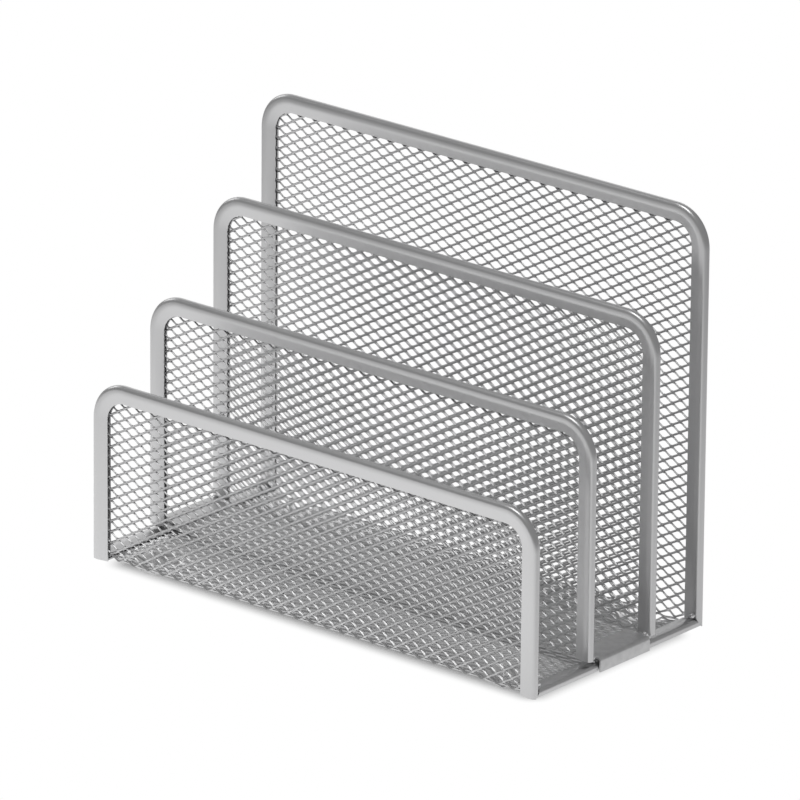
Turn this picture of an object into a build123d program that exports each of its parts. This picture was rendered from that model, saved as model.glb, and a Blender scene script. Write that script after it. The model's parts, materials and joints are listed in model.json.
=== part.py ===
"""Desk letter sorter with three open slots, folded from expanded steel mesh and edged with steel channel.

An outer mesh sheet is folded up at both ends into the front and rear walls. A shorter inner sheet, folded
the same way into the two middle walls, stands on it. A folded strip edges every wall as a rim, the floor
has a rail along each side, and a wider strip, the saddle, covers the rail where the inner sheet stands.

Millimetres. X runs across the walls, +Y to the rear and +Z up. The origin is on the surface that the feet
stand on, below the middle of the floor.
"""

import os
from math import atan2, ceil, degrees, hypot, radians, tan

from build123d import *

# Overall sizes: heights are measured from the underside of the side rails
width = 175.0
depth = 80.0
front_height = 58.4
second_height = 79.7
third_height = 104.5
rear_height = 132.1

# Front face of each middle rim, measured back from the front face of the front rim
second_setback = 25.8
third_setback = 54.9

# Edge channel of the rims and side rails
channel_width = 2.8
channel_depth = 5.8
strip_thickness = 0.6
corner_radius = 12.5
bend_chamfer = 0.8

# Expanded mesh: the strands slant one way in the front layer and the other way in the rear layer
long_pitch = 8.0
short_pitch = 4.6
strand_width = 1.0
strand_thickness = 0.4
layer_gap = 0.2
fold_radius = 1.5
fold_edge = 0.8

# Saddle over the side rail, and the welds at the feet of the rims
saddle_flange = 9.5
inner_leg_lift = 1.2
weld_radius = 0.7
weld_chamfer = 0.35
weld_sides = 8
weld_inset = 1.5

# Feet pressed down out of the floor mesh
foot_drop = 2.4
foot_diameter = 13.0
foot_flat = 10.0
foot_lip = 0.8
foot_sides = 16
foot_side_inset = 18.2
foot_end_inset = 10.0

# Fits: the clearance between touching pieces, and how far a rim covers the edge of its mesh
seat = 0.05
mesh_cover = 0.4

# Places and sizes that follow from those above
mesh_thickness = 2 * strand_thickness + layer_gap
strand_angle = degrees(atan2(short_pitch, long_pitch))
front_face = -depth / 2
second_face = front_face + second_setback
third_face = front_face + third_setback
rear_face = depth / 2 - channel_width
rail_bottom = foot_drop
rail_top = rail_bottom + channel_width
floor_level = rail_bottom + strip_thickness + seat + mesh_thickness / 2
centre_level = rail_top + seat + mesh_thickness / 2
centre_top = centre_level + mesh_thickness / 2
saddle_top = centre_top + seat + strip_thickness
saddle_end_gap = 2 * (weld_radius + seat)
inner_leg_foot = rail_top + inner_leg_lift
mesh_inset = strip_thickness + seat
window_inset = channel_depth - mesh_cover
fold_reach = channel_width / 2 + fold_radius
fold_half_width = width / 2 - channel_depth - seat

os.makedirs("parts", exist_ok=True)


def wall_outline(inset, top, foot):
    """The upright shape of a wall with two round top corners, drawn inside the rim's outer edge."""
    with BuildSketch() as outline:
        with Locations((0, foot)):
            Rectangle(width - 2 * inset, top - inset - foot, align=(Align.CENTER, Align.MIN))
        fillet(outline.vertices().group_by(Axis.Y)[-1], corner_radius - inset)
    return outline.sketch


def floor_outline(half_width, near, far):
    """The flat rectangle of a floor sheet, from its near edge to its far edge."""
    with BuildSketch() as outline:
        with Locations((0, near)):
            Rectangle(2 * half_width, far - near, align=(Align.CENTER, Align.MIN))
    return outline.sketch


def strand_layer(plane, sheet, window, slant):
    """One layer of a mesh sheet: its plain edge, and slanting strands one long pitch apart in the window."""
    box = window.bounding_box()
    reach = box.size.X / 2 + box.size.Y / 2 / tan(radians(strand_angle))
    count = ceil(reach / long_pitch)
    middle = box.center()
    places = [(middle.X + step * long_pitch, middle.Y) for step in range(-count, count + 1)]
    with BuildSketch() as gaps:
        add(window)
        with Locations(*places):
            Rectangle(2 * hypot(box.size.X, box.size.Y), strand_width, rotation=slant, mode=Mode.SUBTRACT)
    with BuildSketch(plane) as layer:
        add(sheet)
        add(gaps.sketch, mode=Mode.SUBTRACT)
    return layer.sketch


def mesh_sheet(plane, sheet, window):
    """The solids of a flat mesh sheet: two layers of strands, a hair apart, and the edge that joins them."""
    with BuildSketch(plane.offset(-layer_gap / 2)) as edge:
        add(sheet)
        add(window, mode=Mode.SUBTRACT)
    front_layer = strand_layer(plane.offset(layer_gap / 2), sheet, window, strand_angle)
    rear_layer = strand_layer(plane.offset(-layer_gap / 2), sheet, window, -strand_angle)
    return [
        extrude(front_layer, amount=strand_thickness, mode=Mode.PRIVATE),
        extrude(rear_layer, amount=-strand_thickness, mode=Mode.PRIVATE),
        extrude(edge.sketch, amount=layer_gap, mode=Mode.PRIVATE),
    ]


def make_wall_mesh(name, face, height, level, towards):
    """A wall of mesh and the fold at its foot, which turns it into the floor in front or behind."""
    middle = face + channel_width / 2
    top = rail_bottom + height
    foot = level + fold_radius
    sheet = wall_outline(mesh_inset, top, foot)
    window = wall_outline(window_inset, top, foot + fold_edge)
    floor_side = Align.MAX if towards > 0 else Align.MIN
    with BuildPart() as wall_mesh:
        with BuildSketch(Plane.YZ):
            with Locations((middle + towards * fold_radius, foot)):
                Circle(fold_radius + mesh_thickness / 2)
                Circle(fold_radius - mesh_thickness / 2, mode=Mode.SUBTRACT)
                Rectangle(width, width, align=(floor_side, Align.MAX), mode=Mode.INTERSECT)
        extrude(amount=fold_half_width, both=True)
        add(mesh_sheet(Plane.XZ.offset(-middle), sheet, window))
    wall_mesh.part.label = name
    export_step(wall_mesh.part, f"parts/{name}.step")


def make_rim(name, face, height, foot, mitre=None):
    """A channel bent round the sides and top of a wall, open towards the mesh that it holds."""
    plane = Plane.XZ.offset(-(face + channel_width / 2))
    top = rail_bottom + height
    with BuildPart() as rim:
        with BuildSketch(plane):
            add(wall_outline(0, top, foot))
        extrude(amount=channel_width / 2, both=True)
        for side in rim.faces().filter_by(Axis.Y):
            chamfer(side.edges().group_by(Axis.Z)[1:], bend_chamfer)
        with BuildSketch(plane):
            add(wall_outline(channel_depth, top, foot))
        extrude(amount=channel_width / 2, both=True, mode=Mode.SUBTRACT)
        with BuildSketch(plane):
            add(wall_outline(strip_thickness, top, foot))
        extrude(amount=channel_width / 2 - strip_thickness, both=True, mode=Mode.SUBTRACT)
        if mitre:
            split(bisect_by=mitre, keep=Keep.TOP)
    rim.part.label = name
    export_step(rim.part, f"parts/{name}.step")


make_wall_mesh("front_mesh", front_face, front_height, floor_level, 1)
make_wall_mesh("second_mesh", second_face, second_height, centre_level, 1)
make_wall_mesh("third_mesh", third_face, third_height, centre_level, -1)
make_wall_mesh("rear_mesh", rear_face, rear_height, floor_level, -1)

# Each mitre plane runs through the outer corner between a rim and the side rails
front_mitre = Plane(origin=(0, front_face, rail_bottom), z_dir=(0, -1, 1))
rear_mitre = Plane(origin=(0, depth / 2, rail_bottom), z_dir=(0, 1, 1))
make_rim("front_rim", front_face, front_height, rail_bottom, front_mitre.offset(seat / 2))
make_rim("second_rim", second_face, second_height, inner_leg_foot)
make_rim("third_rim", third_face, third_height, inner_leg_foot)
make_rim("rear_rim", rear_face, rear_height, rail_bottom, rear_mitre.offset(seat / 2))

# Floor of the outer sheet, with a foot pressed down near each corner
floor_end = depth / 2 - fold_reach - seat
floor_sheet = floor_outline(width / 2 - mesh_inset, -floor_end, floor_end)
floor_window = floor_outline(width / 2 - window_inset, fold_edge - floor_end, floor_end - fold_edge)
foot_places = GridLocations(width - 2 * foot_side_inset, depth - 2 * foot_end_inset, 2, 2)
with BuildPart() as foot:
    with BuildSketch():
        RegularPolygon(foot_flat / 2, foot_sides)
    with BuildSketch(Plane.XY.offset(floor_level - mesh_thickness / 2)):
        RegularPolygon(foot_diameter / 2, foot_sides)
    loft(ruled=True)
    extrude(foot.faces().sort_by(Axis.Z)[-1], amount=mesh_thickness)
    offset(amount=-foot_lip, openings=foot.faces().sort_by(Axis.Z)[-1])
with BuildPart() as floor_mesh:
    add(mesh_sheet(Plane.XY.offset(floor_level), floor_sheet, floor_window))
    with BuildSketch(Plane.XY.offset(floor_level)):
        with foot_places:
            RegularPolygon(foot_diameter / 2 - foot_lip / 2, foot_sides)
    extrude(amount=mesh_thickness, both=True, mode=Mode.SUBTRACT)
    with foot_places:
        add(foot.part)
floor_mesh.part.label = "floor_mesh"
export_step(floor_mesh.part, "parts/floor_mesh.step")

# Floor of the inner sheet, which lies on the side rails between the two middle walls
centre_near = second_face + fold_reach + seat
centre_far = third_face + channel_width - fold_reach - seat
centre_sheet = floor_outline(width / 2 - seat, centre_near, centre_far)
centre_window = floor_outline(width / 2 - window_inset, centre_near + fold_edge, centre_far - fold_edge)
with BuildPart() as centre_floor_mesh:
    add(mesh_sheet(Plane.XY.offset(centre_level), centre_sheet, centre_window))
centre_floor_mesh.part.label = "centre_floor_mesh"
export_step(centre_floor_mesh.part, "parts/centre_floor_mesh.step")

# Side rail: the same channel laid flat along the floor's edge, mitred into the front and rear rims
with BuildPart() as right_side_rail:
    with BuildSketch(Plane.XZ.offset(depth / 2)) as rail_profile:
        with Locations((width / 2, floor_level)):
            Rectangle(channel_depth, channel_width, align=(Align.MAX, Align.CENTER))
        chamfer(rail_profile.vertices().group_by(Axis.X)[-1], bend_chamfer)
        with Locations((width / 2 - strip_thickness, floor_level)):
            Rectangle(
                channel_depth - strip_thickness,
                channel_width - 2 * strip_thickness,
                align=(Align.MAX, Align.CENTER),
                mode=Mode.SUBTRACT,
            )
    extrude(amount=-depth)
    split(bisect_by=front_mitre.offset(-seat / 2), keep=Keep.BOTTOM)
    split(bisect_by=rear_mitre.offset(-seat / 2), keep=Keep.BOTTOM)
right_side_rail.part.label = "right_side_rail"
export_step(right_side_rail.part, "parts/right_side_rail.step")

with BuildPart() as left_side_rail:
    mirror(right_side_rail.part, about=Plane.YZ)
left_side_rail.part.label = "left_side_rail"
export_step(left_side_rail.part, "parts/left_side_rail.step")

# Saddle: a folded strip whose flange holds the centre floor down and whose web covers the side rail
saddle_near = second_face + channel_width + saddle_end_gap
saddle_far = third_face - saddle_end_gap
saddle_outside = width / 2 + seat + strip_thickness
with BuildPart() as right_saddle:
    with BuildSketch(Plane.XZ.offset(-saddle_near)) as saddle_profile:
        with Locations((saddle_outside, rail_bottom)):
            Rectangle(saddle_flange, saddle_top - rail_bottom, align=(Align.MAX, Align.MIN))
        chamfer(saddle_profile.vertices().group_by(Axis.Y)[-1].sort_by(Axis.X)[-1], bend_chamfer)
        with Locations((saddle_outside - strip_thickness, rail_bottom)):
            Rectangle(
                saddle_flange - strip_thickness,
                saddle_top - strip_thickness - rail_bottom,
                align=(Align.MAX, Align.MIN),
                mode=Mode.SUBTRACT,
            )
    extrude(amount=saddle_near - saddle_far)
right_saddle.part.label = "right_saddle"
export_step(right_saddle.part, "parts/right_saddle.step")

with BuildPart() as left_saddle:
    mirror(right_saddle.part, about=Plane.YZ)
left_saddle.part.label = "left_saddle"
export_step(left_saddle.part, "parts/left_saddle.step")

# Weld beads: one at the foot of each rim's legs, against the rail or the saddle that it is joined to
outer_weld_offset = depth / 2 - channel_width - seat - weld_radius
outer_weld_level = rail_top + seat + weld_radius
inner_weld_level = centre_top + seat + weld_radius
weld_places = [
    (-outer_weld_offset, outer_weld_level),
    (saddle_near - saddle_end_gap / 2, inner_weld_level),
    (saddle_far + saddle_end_gap / 2, inner_weld_level),
    (outer_weld_offset, outer_weld_level),
]
with BuildPart() as weld_beads:
    for weld_y, weld_z in weld_places:
        with BuildSketch(Plane.XY.offset(weld_z - weld_radius)):
            with Locations((weld_inset - width / 2, weld_y), (width / 2 - weld_inset, weld_y)):
                RegularPolygon(weld_radius, weld_sides, major_radius=False, rotation=180 / weld_sides)
        extrude(amount=2 * weld_radius)
    chamfer(weld_beads.faces().filter_by(Axis.Z).edges(), weld_chamfer)
weld_beads.part.label = "weld_beads"
export_step(weld_beads.part, "parts/weld_beads.step")
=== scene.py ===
import json
import math

import bmesh
import bpy
from mathutils import Matrix, Vector


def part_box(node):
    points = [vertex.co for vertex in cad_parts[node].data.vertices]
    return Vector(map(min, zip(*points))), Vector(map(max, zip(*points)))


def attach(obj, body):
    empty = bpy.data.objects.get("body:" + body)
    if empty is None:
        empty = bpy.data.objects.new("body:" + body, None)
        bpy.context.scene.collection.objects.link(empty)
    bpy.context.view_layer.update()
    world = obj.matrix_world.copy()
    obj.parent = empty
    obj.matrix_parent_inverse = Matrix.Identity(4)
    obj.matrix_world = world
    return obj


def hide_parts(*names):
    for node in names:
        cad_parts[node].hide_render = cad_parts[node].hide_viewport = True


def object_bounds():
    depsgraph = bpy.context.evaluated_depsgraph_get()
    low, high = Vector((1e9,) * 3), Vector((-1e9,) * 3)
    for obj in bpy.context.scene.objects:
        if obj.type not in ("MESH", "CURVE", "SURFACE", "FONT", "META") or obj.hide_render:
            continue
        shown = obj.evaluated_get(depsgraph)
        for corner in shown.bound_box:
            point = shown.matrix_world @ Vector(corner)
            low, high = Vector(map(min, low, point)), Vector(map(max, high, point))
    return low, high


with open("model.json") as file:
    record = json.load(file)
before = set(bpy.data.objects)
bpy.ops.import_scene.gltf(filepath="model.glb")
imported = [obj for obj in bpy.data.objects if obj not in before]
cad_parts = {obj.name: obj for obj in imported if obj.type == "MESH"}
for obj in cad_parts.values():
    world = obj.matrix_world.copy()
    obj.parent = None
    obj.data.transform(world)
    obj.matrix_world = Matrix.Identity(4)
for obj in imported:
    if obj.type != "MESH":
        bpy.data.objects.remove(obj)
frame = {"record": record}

# Looks of a three-slot desk letter sorter in silver-painted expanded steel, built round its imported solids
cad_low, cad_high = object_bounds()

# Outer mesh sheet: expanded steel, slit and stretched into diamonds and sprayed silver. It is folded up at
# both ends into the front and rear walls, its cut edges are held inside the rims and the side rails, and
# four shallow feet are pressed down out of its floor.
long_pitch = 0.0060
short_pitch = 0.00345
strand_width = 0.00062
strand_thickness = 0.00048
strand_tilt = math.radians(31)
bond_length = 0.0007
fold_radius = 0.0015
sheet_inset = 0.00065
channel_depth = 0.0058
corner_radius = 0.0125
corner_cut = 0.0097
floor_dish = 0.0006
dish_edge = 0.0015
dish_height = 0.008
foot_flat = 0.0050
foot_reach = 0.0075
solid_half_sheet = 0.0005
weld_distance = 1e-6
cut_tolerance = 1e-8
crease_angle = math.radians(38)

front_low, front_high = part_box("front_rim")
rear_low, rear_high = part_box("rear_rim")
foot_place = Vector(frame["record"]["mounts"][0]["pos_m"])
_, floor_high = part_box("floor_mesh")
floor_level = floor_high.z - solid_half_sheet
sheet_half_depth = strand_width * math.sin(strand_tilt) + strand_thickness * math.cos(strand_tilt) / 2


class Wire:
    """One output of a shader node. Arithmetic on it adds Math nodes to the same material."""

    def __init__(self, socket):
        self.socket = socket
        self.tree = socket.id_data

    def node(self, kind, settings, feeds, output=0):
        """Adds any other node: its settings come first, then the values or wires of its sockets."""
        made = self.tree.nodes.new(kind)
        for key, value in settings.items():
            setattr(made, key, value)
        for key, value in feeds.items():
            if isinstance(value, Wire):
                self.tree.links.new(value.socket, made.inputs[key])
            else:
                made.inputs[key].default_value = value
        return Wire(made.outputs[output])

    def maths(self, operation, first, second):
        return self.node("ShaderNodeMath", {"operation": operation}, {0: first, 1: second})

    def __add__(self, other):
        return self.maths("ADD", self, other)

    def __sub__(self, other):
        return self.maths("SUBTRACT", self, other)

    def __rsub__(self, other):
        return self.maths("SUBTRACT", other, self)

    def __mul__(self, other):
        return self.maths("MULTIPLY", self, other)

    __radd__ = __add__
    __rmul__ = __mul__


def silver_paint(name, dark, light, roughness, peel, painted_sheen=0.0):
    """Sprayed silver: flakes that catch the light, slow drifts of tone and a fine orange peel.

    The blots that the last argument adds are painted sheen: patches of lighter and darker tone.
    """
    drift_size = 0.022
    flake_size = 0.00025
    sheen_blot_size = 0.0024
    flake_tone = 0.4
    flake_gloss = 0.12
    drift_gloss = 0.06
    peel_depth = 0.00003
    metal_share = 0.9
    paint = bpy.data.materials.new(name)
    paint.use_nodes = True
    nodes = paint.node_tree.nodes
    shader = nodes["Principled BSDF"]
    place = Wire(nodes.new("ShaderNodeTexCoord").outputs["Object"])

    def blots(size, detail):
        return place.node("ShaderNodeTexNoise", {}, {"Vector": place, "Scale": 1 / size, "Detail": detail})

    drift = blots(drift_size, 3.0)
    flake = blots(flake_size, 1.0)
    tone = drift * (1 - flake_tone) + flake * flake_tone
    # Painted sheen: blots of lighter and darker tone
    if painted_sheen:
        tone = tone + (blots(sheen_blot_size, 1.0) - 0.5) * painted_sheen
    colour = place.node("ShaderNodeMix", {"data_type": "RGBA"}, {0: tone, 6: dark, 7: light}, output=2)
    rough = flake * flake_gloss + drift * drift_gloss + (roughness - (flake_gloss + drift_gloss) / 2)
    bump = place.node("ShaderNodeBump", {}, {"Strength": peel, "Distance": peel_depth, "Height": flake})
    paint.node_tree.links.new(colour.socket, shader.inputs["Base Color"])
    paint.node_tree.links.new(rough.socket, shader.inputs["Roughness"])
    paint.node_tree.links.new(bump.socket, shader.inputs["Normal"])
    shader.inputs["Metallic"].default_value = metal_share
    return paint


def finished_piece(name, bm, paint, slot, *nodes):
    """Turns a finished bmesh into a painted piece of the sorter that stands for its solids."""
    mesh = bpy.data.meshes.new(name)
    bm.to_mesh(mesh)
    bm.free()
    mesh.shade_smooth()
    mesh.set_sharp_from_angle(angle=crease_angle)
    mesh.materials.append(paint)
    piece = bpy.data.objects.new(name, mesh)
    bpy.context.scene.collection.objects.link(piece)
    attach(piece, "root")
    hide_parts(*nodes)
    return piece


def add_zigzag_bar(bm):
    """One long pitch of a zigzag strand: flat bond, rise, flat bond, fall.

    Its bonds are open where they join the next bar.
    """
    along = Vector((1, 0, 0))
    across = Vector((0, math.cos(strand_tilt), math.sin(strand_tilt)))
    through = Vector((0, -math.sin(strand_tilt), math.cos(strand_tilt)))
    section = Matrix((across * strand_width, through * strand_thickness, along)).transposed().to_4x4()
    section.translation = across * strand_width / 2 - along * bond_length / 2
    quad = bmesh.ops.create_grid(bm, x_segments=1, y_segments=1, size=0.5, matrix=section)["verts"]
    bmesh.ops.delete(bm, geom=quad[0].link_faces[:], context="FACES_ONLY")
    ring = list(dict.fromkeys(edge for vert in quad for edge in vert.link_edges))
    slope = Vector((long_pitch / 2 - bond_length, short_pitch / 2, 0)) - across * strand_width
    flat = along * bond_length
    fall = Vector((slope.x, -slope.y, -slope.z))
    for step, glued_side in ((flat, -1), (slope, 0), (flat, 1), (fall, 0)):
        added = bmesh.ops.extrude_edge_only(bm, edges=ring)["geom"]
        verts = [part for part in added if isinstance(part, bmesh.types.BMVert)]
        faces = [part for part in added if isinstance(part, bmesh.types.BMFace)]
        bmesh.ops.translate(bm, verts=verts, vec=step)
        ring = [part for part in added if isinstance(part, bmesh.types.BMEdge)]
        ring = [edge for edge in ring if all(vert in verts for vert in edge.verts)]
        if glued_side:
            glued = max(faces, key=lambda face: glued_side * face.calc_center_median().dot(across))
            bmesh.ops.delete(bm, geom=[glued], context="FACES_ONLY")


def everything(bm):
    """All the parts of a bmesh, as its operators take them."""
    return bm.verts[:] + bm.edges[:] + bm.faces[:]


def repeat(bm, step, count):
    """Copies all that is in the bmesh in a row, one step apart."""
    bmesh.ops.spin(
        bm, geom=everything(bm), axis=(0, 0, 1), dvec=step, angle=0, steps=count - 1, use_duplicate=True
    )


def trim(bm, point, outwards):
    """Shears off what lies outside a plane."""
    bmesh.ops.bisect_plane(
        bm, geom=everything(bm), dist=cut_tolerance, plane_co=point, plane_no=outwards, clear_outer=True
    )


def mesh_sheet(name, front, rear, level, shift, dish, feet, paint, *nodes):
    """A sheet of expanded metal, folded up from the floor into the walls that two rims edge."""
    front_y = (front[0].y + front[1].y) / 2
    rear_y = (rear[0].y + rear[1].y) / 2
    middle_y = (front_y + rear_y) / 2
    flat_half = (rear_y - front_y) / 2 - fold_radius
    bend = fold_radius * math.pi / 2
    bend_level = level + fold_radius
    half_width = front[1].x - sheet_inset
    ends = {
        -1: flat_half + bend + front[1].z - sheet_inset - bend_level,
        1: flat_half + bend + rear[1].z - sheet_inset - bend_level,
    }
    bm = bmesh.new()
    add_zigzag_bar(bm)
    second_bar = bmesh.ops.duplicate(bm, geom=everything(bm))["geom"]
    second_verts = [part for part in second_bar if isinstance(part, bmesh.types.BMVert)]
    bmesh.ops.translate(bm, verts=second_verts, vec=(long_pitch / 2, short_pitch / 2, 0))
    columns = math.ceil((half_width + shift) / long_pitch) + 1
    rows = {side: math.ceil(end / short_pitch) + 1 for side, end in ends.items()}
    repeat(bm, (long_pitch, 0, 0), 2 * columns)
    repeat(bm, (0, short_pitch, 0), rows[-1] + rows[1])
    start = Vector((shift - columns * long_pitch, -rows[-1] * short_pitch, 0))
    bmesh.ops.translate(bm, verts=bm.verts, vec=start)
    bmesh.ops.remove_doubles(bm, verts=bm.verts, dist=weld_distance)

    # Cut edges, then the corners that follow the round corners of the rims
    corner_x = front[1].x - corner_radius
    for x_side in (-1, 1):
        trim(bm, (x_side * half_width, 0, 0), (x_side, 0, 0))
    for y_side, end in ends.items():
        trim(bm, (0, y_side * end, 0), (0, y_side, 0))
        corner_y = end + sheet_inset - corner_radius
        for x_side in (-1, 1):
            outwards = Vector((x_side, y_side, 0)).normalized()
            trim(bm, Vector((x_side * corner_x, y_side * corner_y, 0)) + outwards * corner_cut, outwards)
    notch_x = front[1].x - channel_depth
    notched = [
        face for face in bm.faces
        if abs(face.calc_center_median().x) > notch_x
        and flat_half < abs(face.calc_center_median().y) < flat_half + bend
    ]
    bmesh.ops.delete(bm, geom=notched, context="FACES")
    bmesh.ops.holes_fill(bm, edges=[edge for edge in bm.edges if edge.is_boundary], sides=0)
    bmesh.ops.recalc_face_normals(bm, faces=bm.faces)

    # Press the feet, then fold the two walls up
    foot_drop = level - dish - sheet_half_depth
    for vert in bm.verts:
        for foot_x, foot_y in feet:
            away = math.hypot(vert.co.x - foot_x, vert.co.y + middle_y - foot_y)
            depth = min(max((foot_reach - away) / (foot_reach - foot_flat), 0), 1)
            vert.co.z -= foot_drop * depth * depth * (3 - 2 * depth)
        side = math.copysign(1, vert.co.y)
        run = max(abs(vert.co.y) - flat_half, 0)
        turn = min(run, bend) / fold_radius
        reach = fold_radius - vert.co.z
        along = min(abs(vert.co.y), flat_half) + reach * math.sin(turn)
        rise = max(run - bend, 0)
        inside = min(max((notch_x - abs(vert.co.x)) / dish_edge, 0), 1)
        sunk = dish * inside * max(1 - rise / dish_height, 0)
        vert.co = (vert.co.x, middle_y + side * along, bend_level - reach * math.cos(turn) + rise - sunk)
    return finished_piece(name, bm, paint, "mesh", *nodes)


mesh_paint = silver_paint(
    "mesh_silver", (0.62, 0.62, 0.625, 1), (0.74, 0.74, 0.745, 1), roughness=0.36, peel=0.3
)
feet = [(x * foot_place.x, y * foot_place.y) for x in (-1, 1) for y in (-1, 1)]
mesh_sheet(
    "outer_mesh", (front_low, front_high), (rear_low, rear_high), floor_level, 0.0, floor_dish, feet,
    mesh_paint, "front_mesh", "floor_mesh", "rear_mesh",
)

# Inner mesh sheet: a shorter piece of the same expanded steel, folded into the two middle walls. Its floor
# lies on the side rails and is held down by the saddles.
inner_shift = 0.0042
second_low, second_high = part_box("second_rim")
third_low, third_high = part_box("third_rim")
centre_low, centre_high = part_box("centre_floor_mesh")
centre_level = (centre_low.z + centre_high.z) / 2
mesh_sheet(
    "inner_mesh", (second_low, second_high), (third_low, third_high), centre_level, inner_shift, 0.0, [],
    mesh_paint, "second_mesh", "centre_floor_mesh", "third_mesh",
)

# Rims: a steel strip folded to a U channel, bent cold round the sides and top of each wall and pressed onto
# the mesh. The bends in the strip are round, and its lips curve in until they grip the mesh. The feet of the
# front and rear rims are cut square in front and mitred to the side rails behind.
strip_thickness = 0.0005
bend_radius = 0.00125
bend_steps = 6
bend_angle = math.radians(60)
lip_start = 0.45
lip_ease = 0.10
lip_pinch = 0.00062
tip_pinch = 0.00012
corner_steps = 16
mitre_gap = 0.00005
mitre_heel = 0.0007
rail_low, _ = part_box("right_side_rail")


def draw_profile(bm, points):
    """An open line of edges through a few points: the strip seen from its end."""
    verts = [bm.verts.new(point) for point in points]
    return [bm.edges.new(pair) for pair in zip(verts, verts[1:])]


def channel_section(thickness):
    """The channel seen from its end, as pairs of depth and height: its lips curve in towards the mesh."""
    side = []
    for share in (1.0, lip_start + lip_ease, lip_start, lip_start - lip_ease):
        pinch = lip_pinch * max(share - lip_start, 0) / (1 - lip_start)
        side.append((channel_depth * share, pinch))
    side.append((0, tip_pinch))
    return side + [(depth, thickness - inward) for depth, inward in reversed(side)]


def pull(bm, line, step):
    """Draws a line of edges straight along, and returns the line at the far end."""
    added = bmesh.ops.extrude_edge_only(bm, edges=line)["geom"]
    verts = [part for part in added if isinstance(part, bmesh.types.BMVert)]
    bmesh.ops.translate(bm, verts=verts, vec=step)
    edges = [part for part in added if isinstance(part, bmesh.types.BMEdge)]
    return [edge for edge in edges if all(vert in verts for vert in edge.verts)]


def turn_corner(bm, line, centre):
    """Bends a line of edges a quarter turn round a rim's corner, and returns the line at the far end."""
    last = bmesh.ops.spin(
        bm, geom=line, cent=centre, axis=(0, 1, 0), angle=math.pi / 2, steps=corner_steps
    )["geom_last"]
    return [part for part in last if isinstance(part, bmesh.types.BMEdge)]


def round_bends(bm):
    """Rounds the lengthwise bends of a drawn strip and gives it its thickness, inwards."""
    bends = [
        edge for edge in bm.edges
        if len(edge.link_faces) == 2 and edge.calc_face_angle() > bend_angle
    ]
    bmesh.ops.bevel(
        bm, geom=bends, offset=bend_radius, offset_type="OFFSET", segments=bend_steps, profile=0.5,
        affect="EDGES", material=-1,
    )
    bmesh.ops.recalc_face_normals(bm, faces=bm.faces)
    bmesh.ops.solidify(bm, geom=bm.faces[:], thickness=strip_thickness)


channel_paint = silver_paint(
    "channel_silver", (0.65, 0.65, 0.655, 1), (0.73, 0.73, 0.735, 1), roughness=0.32, peel=0.2
)
for node, mitre_side in (("front_rim", -1), ("second_rim", 0), ("third_rim", 0), ("rear_rim", 1)):
    low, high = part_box(node)
    bm = bmesh.new()
    section = channel_section(high.y - low.y)
    line = draw_profile(bm, [(low.x + depth, low.y + across, low.z) for depth, across in section])
    corner_z = high.z - corner_radius
    line = pull(bm, line, (0, 0, corner_z - low.z))
    line = turn_corner(bm, line, (low.x + corner_radius, 0, corner_z))
    line = pull(bm, line, (high.x - low.x - 2 * corner_radius, 0, 0))
    line = turn_corner(bm, line, (high.x - corner_radius, 0, corner_z))
    pull(bm, line, (0, 0, low.z - corner_z))
    if mitre_side:
        outer_y = low.y if mitre_side < 0 else high.y
        trim(bm, (0, outer_y - mitre_side * mitre_heel, rail_low.z + mitre_gap), (0, -mitre_side, -1))
    round_bends(bm)
    finished_piece(node + "_strip", bm, channel_paint, "channel", node)

# Side rails: the same channel laid flat along each side of the floor, open towards it, and mitred into the
# feet of the front and rear rims.
for node, side in (("left_side_rail", -1), ("right_side_rail", 1)):
    low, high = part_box(node)
    outer_x = low.x if side < 0 else high.x
    bm = bmesh.new()
    section = channel_section(high.z - low.z)
    line = draw_profile(bm, [(outer_x - side * depth, low.y, low.z + across) for depth, across in section])
    pull(bm, line, (0, high.y - low.y, 0))
    for end_y, end_side in ((low.y, -1), (high.y, 1)):
        trim(bm, (0, end_y - end_side * mitre_heel, low.z), (0, end_side, 1))
    round_bends(bm)
    finished_piece(node + "_strip", bm, channel_paint, "channel", node)

# Saddles: a wider strip folded to an angle. Its flange holds the inner sheet's floor down, and its web hangs
# over the outside of the side rail. Its silver carries blots of painted sheen, lighter and darker in tone.
saddle_paint = silver_paint(
    "saddle_silver", (0.64, 0.64, 0.645, 1), (0.84, 0.84, 0.845, 1), roughness=0.48, peel=0.2, painted_sheen=1.1
)
for node, side in (("left_saddle", -1), ("right_saddle", 1)):
    low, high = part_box(node)
    outer_x, inner_x = (low.x, high.x) if side < 0 else (high.x, low.x)
    bm = bmesh.new()
    line = draw_profile(bm, (
        (inner_x, low.y, high.z),
        (outer_x, low.y, high.z),
        (outer_x, low.y, low.z),
    ))
    pull(bm, line, (0, high.y - low.y, 0))
    round_bends(bm)
    finished_piece(node + "_strip", bm, saddle_paint, "channel", node)

# Weld beads: small drops of steel where the legs of the rims are tacked to the rails and the saddles,
# painted over with the rest.
bead_low, bead_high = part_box("weld_beads")
saddle_low, saddle_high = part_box("right_saddle")
bead_radius = 0.0009
bead_x = bead_high.x - bead_radius
outer_bead_z = bead_low.z + bead_radius
inner_bead_z = bead_high.z - bead_radius
bead_places = (
    (bead_low.y + bead_radius, outer_bead_z),
    ((second_high.y + saddle_low.y) / 2, inner_bead_z),
    ((saddle_high.y + third_low.y) / 2, inner_bead_z),
    (bead_high.y - bead_radius, outer_bead_z),
)
bm = bmesh.new()
for bead_y, bead_z in bead_places:
    for side in (-1, 1):
        place = Matrix.Translation((side * bead_x, bead_y, bead_z))
        bmesh.ops.create_icosphere(bm, subdivisions=3, radius=bead_radius, matrix=place)
weld_paint = silver_paint(
    "weld_silver", (0.72, 0.72, 0.725, 1), (0.88, 0.88, 0.885, 1), roughness=0.28, peel=0.6
)
finished_piece("weld_drops", bm, weld_paint, "weld", "weld_beads")
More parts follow.
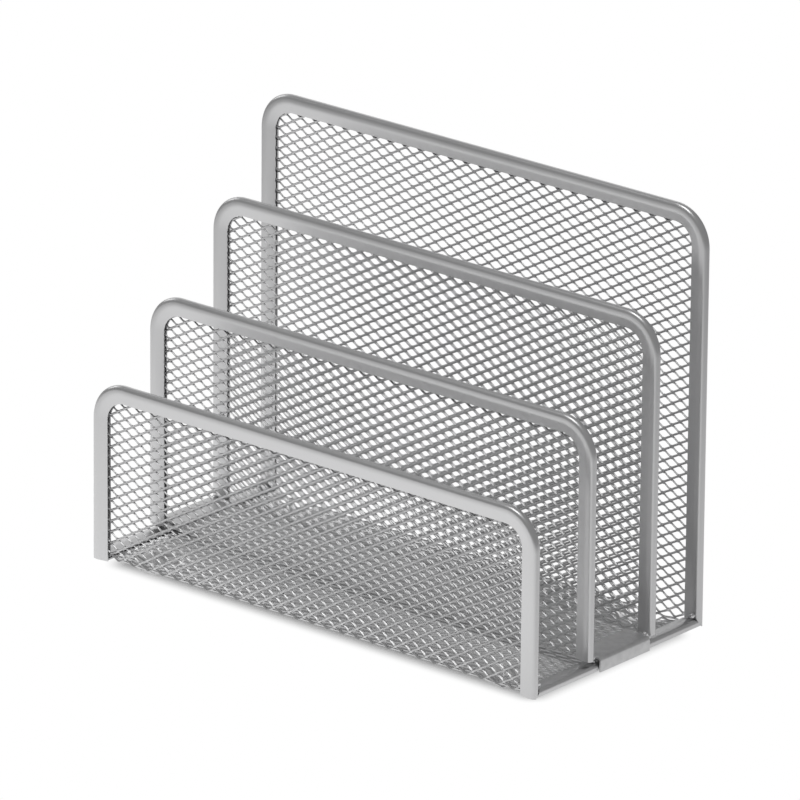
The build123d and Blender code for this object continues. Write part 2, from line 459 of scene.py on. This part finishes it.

# Studio table: white, with a soft shadow where the sorter stands. Its brightness in the reflections on the
# paint is painted light and shade: bright close to the sorter, darker far off and on the side away from the
# lamps, and with a painted shadow round the sorter.
table_half = 4.0
table_grey = 0.82
shadow_inset = 0.009
shadow_fade = 0.009
shadow_depth = 0.92
mirrored_shadow = 0.55
bright_reach = 0.12
dark_reach = 0.60
away_from_lamps = (0.65, 0.76, 0)
lit_side = -0.06
far_side = 0.10
far_side_share = 0.55
bm = bmesh.new()
bmesh.ops.create_grid(bm, x_segments=1, y_segments=1, size=table_half)
mesh = bpy.data.meshes.new("table")
bm.to_mesh(mesh)
bm.free()
table = bpy.data.objects.new("table", mesh)
bpy.context.scene.collection.objects.link(table)
table_white = bpy.data.materials.new("table_white")
table_white.use_nodes = True
nodes = table_white.node_tree.nodes
nodes.clear()
place = Wire(nodes.new("ShaderNodeTexCoord").outputs["Object"])
beyond = place.node("ShaderNodeVectorMath", {"operation": "ABSOLUTE"}, {0: place})
shadow_edge = cad_high - Vector((shadow_inset, shadow_inset, 0))
beyond = place.node("ShaderNodeVectorMath", {"operation": "SUBTRACT"}, {0: beyond, 1: shadow_edge})
beyond = place.node("ShaderNodeVectorMath", {"operation": "MAXIMUM"}, {0: beyond, 1: (0, 0, 0)})
beyond = place.node("ShaderNodeVectorMath", {"operation": "LENGTH"}, {0: beyond}, output="Value")
clear = place.node(
    "ShaderNodeMapRange", {"interpolation_type": "SMOOTHSTEP"},
    {"Value": beyond, "From Min": 0.0, "From Max": shadow_fade},
)
# Painted light and shade in the reflections: the table's white fades with distance and towards the side away
# from the lamps
away = place.node("ShaderNodeVectorMath", {"operation": "LENGTH"}, {0: place}, output="Value")
painted_falloff = place.node(
    "ShaderNodeMapRange", {"interpolation_type": "SMOOTHSTEP"},
    {"Value": away, "From Min": bright_reach, "From Max": dark_reach, "To Min": 1.0, "To Max": 0.0},
)
rearwards = place.node(
    "ShaderNodeVectorMath", {"operation": "DOT_PRODUCT"}, {0: place, 1: away_from_lamps}, output="Value"
)
painted_lamp_side_shade = place.node(
    "ShaderNodeMapRange", {"interpolation_type": "SMOOTHSTEP"},
    {"Value": rearwards, "From Min": lit_side, "From Max": far_side, "To Min": 1.0, "To Max": far_side_share},
)
ray = nodes.new("ShaderNodeLightPath").outputs
straight = Wire(ray["Is Camera Ray"]) + Wire(ray["Is Transmission Ray"])
# Painted shadow in the reflections: the table's white is dimmed round the sorter's footprint
painted_shadow_in_reflections = clear * mirrored_shadow + (1 - mirrored_shadow)
mirrored = Wire(ray["Is Glossy Ray"]) * painted_falloff * painted_lamp_side_shade * painted_shadow_in_reflections
seen = straight * (clear * shadow_depth + (1 - shadow_depth)) + mirrored
lit = place.node("ShaderNodeBsdfDiffuse", {}, {"Color": (table_grey, table_grey, table_grey, 1)})
white = place.node("ShaderNodeEmission", {}, {"Color": (1, 1, 1, 1), "Strength": 1.0})
shown = place.node("ShaderNodeMixShader", {}, {0: seen, 1: lit, 2: white})
output = nodes.new("ShaderNodeOutputMaterial")
table_white.node_tree.links.new(shown.socket, output.inputs["Surface"])
mesh.materials.append(table_white)

# Studio lamps: a soft box overhead and a little in front, and a low one far to the left
object_middle = (cad_low + cad_high) / 2


def soft_box(name, place, width, height, power):
    """A rectangular lamp that faces the middle of the sorter."""
    lamp = bpy.data.lights.new(name, "AREA")
    lamp.shape = "RECTANGLE"
    lamp.size = width
    lamp.size_y = height
    lamp.energy = power
    box = bpy.data.objects.new(name, lamp)
    box.location = place
    box.rotation_euler = (object_middle - Vector(place)).to_track_quat("-Z", "Y").to_euler()
    bpy.context.scene.collection.objects.link(box)


soft_box("overhead_box", (-0.08, -0.38, 1.1), width=0.5, height=0.4, power=2.2)
soft_box("left_box", (-1.0, 0.02, 0.53), width=0.5, height=0.4, power=0.8)

# Studio walls: grey, and white just above the table where they are looked at. The paint reflects a pale
# sweep of backdrop behind the sorter.
wall_grey = 0.28
horizon_low = 0.05
horizon_high = 0.12
sweep_way = (-0.60, 0.71, 0.36)
sweep_rim = 0.86
sweep_core = 0.99
sweep_glow = 0.6
world = bpy.data.worlds.new("studio")
world.use_nodes = True
bpy.context.scene.world = world
sky = world.node_tree.nodes
way = Wire(sky.new("ShaderNodeTexCoord").outputs["Generated"])
height = way.node("ShaderNodeSeparateXYZ", {}, {0: way}, output="Z")
backdrop = way.node(
    "ShaderNodeMapRange", {"interpolation_type": "SMOOTHSTEP"},
    {"Value": height, "From Min": horizon_low, "From Max": horizon_high, "To Min": 1.0, "To Max": 0.0},
)
looking = Wire(sky.new("ShaderNodeLightPath").outputs["Is Camera Ray"])
behind = way.node(
    "ShaderNodeVectorMath", {"operation": "DOT_PRODUCT"}, {0: way, 1: sweep_way}, output="Value"
)
sweep = way.node(
    "ShaderNodeMapRange", {"interpolation_type": "SMOOTHSTEP"},
    {"Value": behind, "From Min": sweep_rim, "From Max": sweep_core, "To Min": 0.0, "To Max": sweep_glow},
)
walls = backdrop * looking * (1 - wall_grey) + wall_grey + sweep * (1 - looking)
world.node_tree.links.new(walls.socket, sky["Background"].inputs["Color"])

# Camera: at the photograph's angle, a long lens far off
camera_azimuth = math.radians(40.17)
camera_elevation = math.radians(20.27)
camera_roll = math.radians(0.5)
camera_distance = 2.8
camera_target = Vector((0.00118, 0.0, 0.06439))
camera = bpy.data.cameras.new("camera")
camera.lens = 419.5
camera.sensor_width = 36.0
camera.clip_end = 20.0
viewer = bpy.data.objects.new("camera", camera)
bpy.context.scene.collection.objects.link(viewer)
bpy.context.scene.camera = viewer
right = Vector((math.cos(camera_azimuth), math.sin(camera_azimuth), 0))
back = Vector((
    math.sin(camera_azimuth) * math.cos(camera_elevation),
    -math.cos(camera_azimuth) * math.cos(camera_elevation),
    math.sin(camera_elevation),
))
upright = Matrix((right, back.cross(right), back)).transposed()
viewer.matrix_world = (upright @ Matrix.Rotation(camera_roll, 3, "Z")).to_4x4()
viewer.location = camera_target + back * camera_distance

bpy.context.scene.view_settings.view_transform = "Standard"
